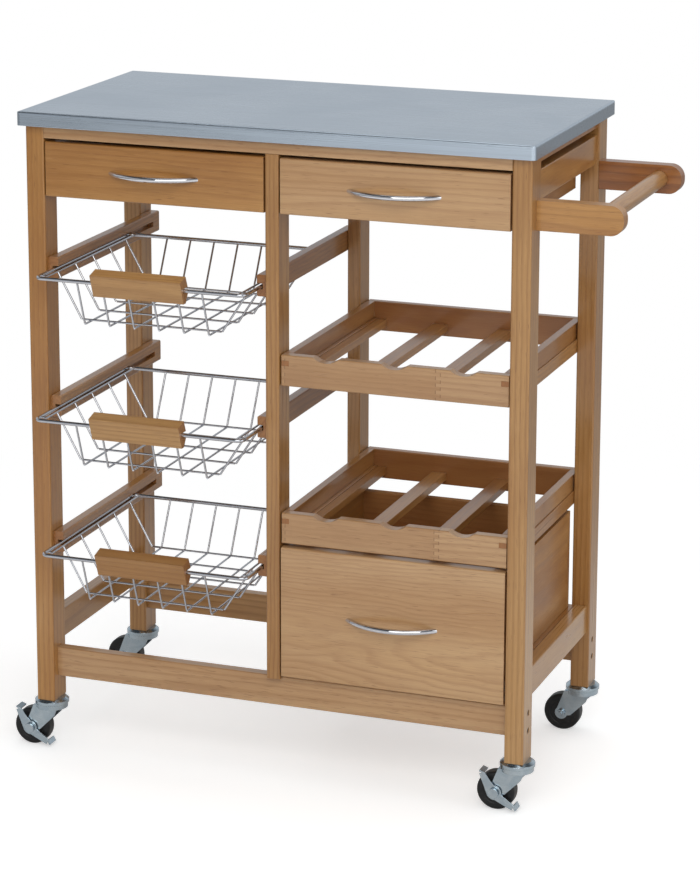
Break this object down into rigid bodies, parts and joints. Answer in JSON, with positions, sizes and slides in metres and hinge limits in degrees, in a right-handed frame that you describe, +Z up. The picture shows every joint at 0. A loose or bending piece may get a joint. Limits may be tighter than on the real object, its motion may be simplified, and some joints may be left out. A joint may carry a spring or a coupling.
{
  "type": "kitchen island cart",
  "caption": "Rolling wooden kitchen cart with a steel worktop, pull-out drawers, sliding wire baskets, lift-out bottle racks, a push bar and swivel casters with brakes.",
  "frame": {"origin": "on the floor, at the centre of the overall footprint", "axes": "+X towards the push handle, along the worktop's length; -Y is the front, where the drawers open; +Z up"},
  "size_m": [0.8174, 0.417, 0.856],
  "materials": {
    "frame_wood": "clear satin varnish on honey-coloured pine, grain along each bar",
    "front_wood": "clear satin varnish, horizontal flat-sawn figure",
    "box_wood": "thin clear varnish",
    "box_panel": "plain thin plywood",
    "grip_wood": "clear satin varnish",
    "rack_wood": "clear satin varnish",
    "core_board": "raw board under the steel",
    "worktop_steel": "brushed along its length",
    "handle_chrome": "bright chrome",
    "wire_chrome": "bright plated wire",
    "screw_steel": "dull zinc-plated socket screws",
    "zinc": "satin zinc-plated pressed steel",
    "wheel_rubber": "matt black"
  },
  "bodies": {
    "frame": {"leg_front_left": "frame_wood", "leg_front_right": "frame_wood", "leg_back_left": "frame_wood", "leg_back_right": "frame_wood", "post_front": "frame_wood", "post_back": "frame_wood", "rail_top_front": "frame_wood", "rail_top_back": "frame_wood", "rail_low_front": "frame_wood", "rail_low_back": "frame_wood", "rails_side_low": "frame_wood", "aprons_side": "frame_wood", "battens_top": "frame_wood", "rails_middle": "frame_wood", "runners_left": "frame_wood", "runners_right": "frame_wood", "rack_rails": "frame_wood", "drawer_runners": "frame_wood", "arm_front": "frame_wood", "arm_back": "frame_wood", "handle_bar": "frame_wood", "top_sheet": "worktop_steel", "top_core": "core_board", "frame_screws": "screw_steel", "caster_cups": "zinc"},
    "drawer_left": {"drawer_left_front": "front_wood", "drawer_left_walls": "box_wood", "drawer_left_bottom": "box_panel", "drawer_left_handle": "handle_chrome"},
    "drawer_right": {"drawer_right_front": "front_wood", "drawer_right_walls": "box_wood", "drawer_right_bottom": "box_panel", "drawer_right_handle": "handle_chrome"},
    "drawer_big": {"drawer_big_front": "front_wood", "drawer_big_walls": "box_wood", "drawer_big_bottom": "box_panel", "drawer_big_handle": "handle_chrome"},
    "basket_top": {"basket_top_wires": "wire_chrome", "basket_top_grip": "grip_wood"},
    "basket_middle": {"basket_middle_wires": "wire_chrome", "basket_middle_grip": "grip_wood"},
    "basket_low": {"basket_low_wires": "wire_chrome", "basket_low_grip": "grip_wood"},
    "rack_upper": {"rack_upper_front": "rack_wood", "rack_upper_walls": "rack_wood", "rack_upper_slats": "rack_wood"},
    "rack_lower": {"rack_lower_front": "rack_wood", "rack_lower_walls": "rack_wood", "rack_lower_slats": "rack_wood"},
    "swivel_front_left": {"fork_front_left": "zinc"},
    "wheel_front_left": {"wheel_front_left": "wheel_rubber"},
    "swivel_front_right": {"fork_front_right": "zinc"},
    "wheel_front_right": {"wheel_front_right": "wheel_rubber"},
    "swivel_back_left": {"fork_back_left": "zinc"},
    "wheel_back_left": {"wheel_back_left": "wheel_rubber"},
    "swivel_back_right": {"fork_back_right": "zinc"},
    "wheel_back_right": {"wheel_back_right": "wheel_rubber"},
    "brake_left": {"brake_left": "zinc"},
    "brake_right": {"brake_right": "zinc"}
  },
  "joints": [
    {"name": "drawer_left_slide", "type": "slide", "parent": "frame", "child": "drawer_left", "axis": [0, -1, 0], "range_m": [0, 0.2]},
    {"name": "drawer_right_slide", "type": "slide", "parent": "frame", "child": "drawer_right", "axis": [0, -1, 0], "range_m": [0, 0.2]},
    {"name": "drawer_big_slide", "type": "slide", "parent": "frame", "child": "drawer_big", "axis": [0, -1, 0], "range_m": [0, 0.2]},
    {"name": "basket_top_slide", "type": "slide", "parent": "frame", "child": "basket_top", "axis": [0, -1, 0], "range_m": [-0.063, 0.172]},
    {"name": "basket_middle_slide", "type": "slide", "parent": "frame", "child": "basket_middle", "axis": [0, -1, 0], "range_m": [-0.073, 0.162]},
    {"name": "basket_low_slide", "type": "slide", "parent": "frame", "child": "basket_low", "axis": [0, -1, 0], "range_m": [-0.062, 0.173]},
    {"name": "rack_upper_lift", "type": "slide", "parent": "frame", "child": "rack_upper", "axis": [0, 0, 1], "range_m": [0, 0.06]},
    {"name": "rack_lower_lift", "type": "slide", "parent": "frame", "child": "rack_lower", "axis": [0, 0, 1], "range_m": [0, 0.06]},
    {"name": "caster_front_left_swivel", "type": "hinge", "parent": "frame", "child": "swivel_front_left", "pos_m": [-0.35775, -0.119, 0.06], "axis": [0, 0, 1], "continuous": true},
    {"name": "caster_front_left_spin", "type": "hinge", "parent": "swivel_front_left", "child": "wheel_front_left", "pos_m": [-0.38375, -0.119, 0.025], "axis": [0, 1, 0], "continuous": true},
    {"name": "caster_front_right_swivel", "type": "hinge", "parent": "frame", "child": "swivel_front_right", "pos_m": [0.28725, -0.119, 0.06], "axis": [0, 0, 1], "continuous": true},
    {"name": "caster_front_right_spin", "type": "hinge", "parent": "swivel_front_right", "child": "wheel_front_right", "pos_m": [0.26125, -0.119, 0.025], "axis": [0, 1, 0], "continuous": true},
    {"name": "caster_back_left_swivel", "type": "hinge", "parent": "frame", "child": "swivel_back_left", "pos_m": [-0.35775, 0.178, 0.06], "axis": [0, 0, 1], "continuous": true},
    {"name": "caster_back_left_spin", "type": "hinge", "parent": "swivel_back_left", "child": "wheel_back_left", "pos_m": [-0.38375, 0.178, 0.025], "axis": [0, 1, 0], "continuous": true},
    {"name": "caster_back_right_swivel", "type": "hinge", "parent": "frame", "child": "swivel_back_right", "pos_m": [0.28725, 0.178, 0.06], "axis": [0, 0, 1], "continuous": true},
    {"name": "caster_back_right_spin", "type": "hinge", "parent": "swivel_back_right", "child": "wheel_back_right", "pos_m": [0.26125, 0.178, 0.025], "axis": [0, 1, 0], "continuous": true},
    {"name": "brake_left_pivot", "type": "hinge", "parent": "swivel_front_left", "child": "brake_left", "pos_m": [-0.38375, -0.119, 0.025], "axis": [0, -1, 0], "range_deg": [0, 12]},
    {"name": "brake_right_pivot", "type": "hinge", "parent": "swivel_front_right", "child": "brake_right", "pos_m": [0.26125, -0.119, 0.025], "axis": [0, -1, 0], "range_deg": [0, 12]}
  ]
}
